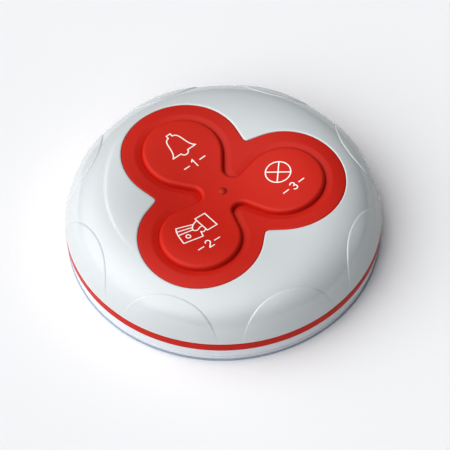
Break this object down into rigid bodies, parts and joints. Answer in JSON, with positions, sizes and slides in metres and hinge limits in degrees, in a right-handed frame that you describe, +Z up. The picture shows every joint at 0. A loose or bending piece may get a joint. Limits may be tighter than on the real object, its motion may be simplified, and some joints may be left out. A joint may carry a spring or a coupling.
{
  "type": "table call button",
  "caption": "Round table call button: domed cover with raised shoulder arches, coloured trim ring, a trefoil rubber keypad over push switches, and a twist-off base plate.",
  "frame": {"origin": "centre of the underside, on the face of the non-slip pad", "axes": "+Z up through the dome, +Y towards the call key, +X along the reading direction of the keys' marks"},
  "size_m": [0.088, 0.088, 0.0204],
  "materials": {
    "white_abs": "gloss",
    "red_gloss": "gloss",
    "red_silicone": "satin",
    "foot_rubber": "matte",
    "inner_plastic": "satin",
    "clear_acrylic": "gloss",
    "board_laminate": "gloss",
    "black_plastic": "satin",
    "steel": "satin",
    "nickel": "satin",
    "copper_wire": "gloss",
    "part_body": "matte",
    "lamp_body": "gloss"
  },
  "bodies": {
    "housing": {"top_cover": "white_abs", "trim_ring": "red_gloss", "base_tray": "white_abs", "keypad_web": "red_silicone", "keypad_frame": "inner_plastic", "light_guide": "clear_acrylic", "call_switch": "black_plastic", "pay_switch": "black_plastic", "cancel_switch": "black_plastic", "switch_frames": "steel", "circuit_board": "board_laminate", "indicator_lamp": "lamp_body", "encoder_chip": "black_plastic", "transmitter_chip": "black_plastic", "crystal": "steel", "chip_resistors": "black_plastic", "chip_capacitors": "part_body", "antenna_wire": "copper_wire", "coin_cell": "nickel", "cell_holder": "black_plastic", "negative_contact": "nickel", "positive_contact": "nickel", "board_screws": "steel", "case_screws": "steel"},
    "call_button": {"call_key": "red_silicone"},
    "pay_button": {"pay_key": "red_silicone"},
    "cancel_button": {"cancel_key": "red_silicone"},
    "call_actuator": {"call_stem": "black_plastic"},
    "pay_actuator": {"pay_stem": "black_plastic"},
    "cancel_actuator": {"cancel_stem": "black_plastic"},
    "twist_plate": {"base_plate": "white_abs", "foot_pad": "foot_rubber"}
  },
  "joints": [
    {"name": "call_press", "type": "slide", "parent": "housing", "child": "call_button", "axis": [0, 0, -1], "range_m": [0, 0.0006], "stiffness_N_per_m": 2500, "springref_m": -0.0004},
    {"name": "pay_press", "type": "slide", "parent": "housing", "child": "pay_button", "axis": [0, 0, -1], "range_m": [0, 0.0006], "stiffness_N_per_m": 2500, "springref_m": -0.0004},
    {"name": "cancel_press", "type": "slide", "parent": "housing", "child": "cancel_button", "axis": [0, 0, -1], "range_m": [0, 0.0006], "stiffness_N_per_m": 2500, "springref_m": -0.0004},
    {"name": "call_stem_press", "type": "slide", "parent": "housing", "child": "call_actuator", "axis": [0, 0, -1], "range_m": [0, 0.0003]},
    {"name": "pay_stem_press", "type": "slide", "parent": "housing", "child": "pay_actuator", "axis": [0, 0, -1], "range_m": [0, 0.0003]},
    {"name": "cancel_stem_press", "type": "slide", "parent": "housing", "child": "cancel_actuator", "axis": [0, 0, -1], "range_m": [0, 0.0003]},
    {"name": "plate_twist", "type": "hinge", "parent": "housing", "child": "twist_plate", "pos_m": [0, 0, 0.0011], "axis": [0, 0, 1], "range_deg": [-20, 0]}
  ],
  "couplings": [
    {"joint": "call_stem_press", "follows": "call_press", "ratio": 0.5},
    {"joint": "pay_stem_press", "follows": "pay_press", "ratio": 0.5},
    {"joint": "cancel_stem_press", "follows": "cancel_press", "ratio": 0.5}
  ]
}
